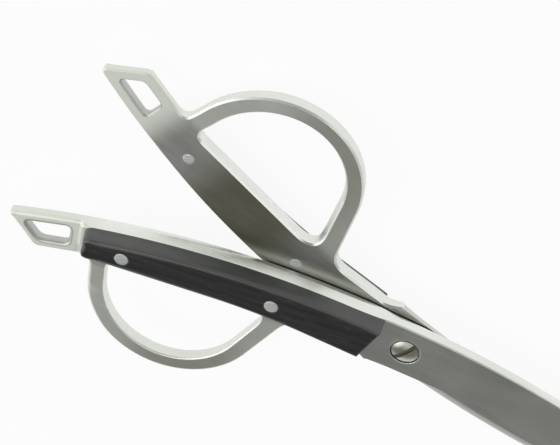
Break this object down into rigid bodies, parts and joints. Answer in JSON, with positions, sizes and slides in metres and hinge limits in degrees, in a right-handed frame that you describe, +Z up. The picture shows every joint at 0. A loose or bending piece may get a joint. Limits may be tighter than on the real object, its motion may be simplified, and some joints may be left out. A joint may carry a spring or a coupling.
{
  "type": "scissors",
  "caption": "Scissors with pointed steel blades, D-shaped finger loops, tail eyelets and riveted black wooden handle scales, turning on a slotted pivot screw.",
  "frame": {"origin": "on the surface that the scissors lie on, under the middle of their bounding box", "axes": "+X along the scissors towards the tips, +Y towards the rear half's finger loop, +Z up from the surface, along the pivot screw towards its head"},
  "size_m": [0.2146, 0.1114, 0.0191],
  "materials": {
    "steel": "satin faces, polished edges",
    "ebony": "oiled, fine straight grain",
    "pin_steel": "ground flush",
    "screw_steel": "polished",
    "bronze": "plain"
  },
  "bodies": {
    "rear_half": {"rear_blade": "steel", "rear_handle_scale": "ebony", "rear_tail_rivet": "pin_steel", "rear_pivot_rivet": "pin_steel", "pivot_screw": "screw_steel", "spring_washer": "pin_steel", "bearing_washer": "bronze", "pivot_nut": "screw_steel"},
    "front_half": {"front_blade": "steel", "front_handle_scale": "ebony", "front_tail_rivet": "pin_steel", "front_pivot_rivet": "pin_steel"}
  },
  "joints": [
    {"name": "pivot", "type": "hinge", "parent": "rear_half", "child": "front_half", "pos_m": [0.00891, 0, 0.00955], "axis": [0, 0, 1], "range_deg": [-6.5, 65]}
  ]
}
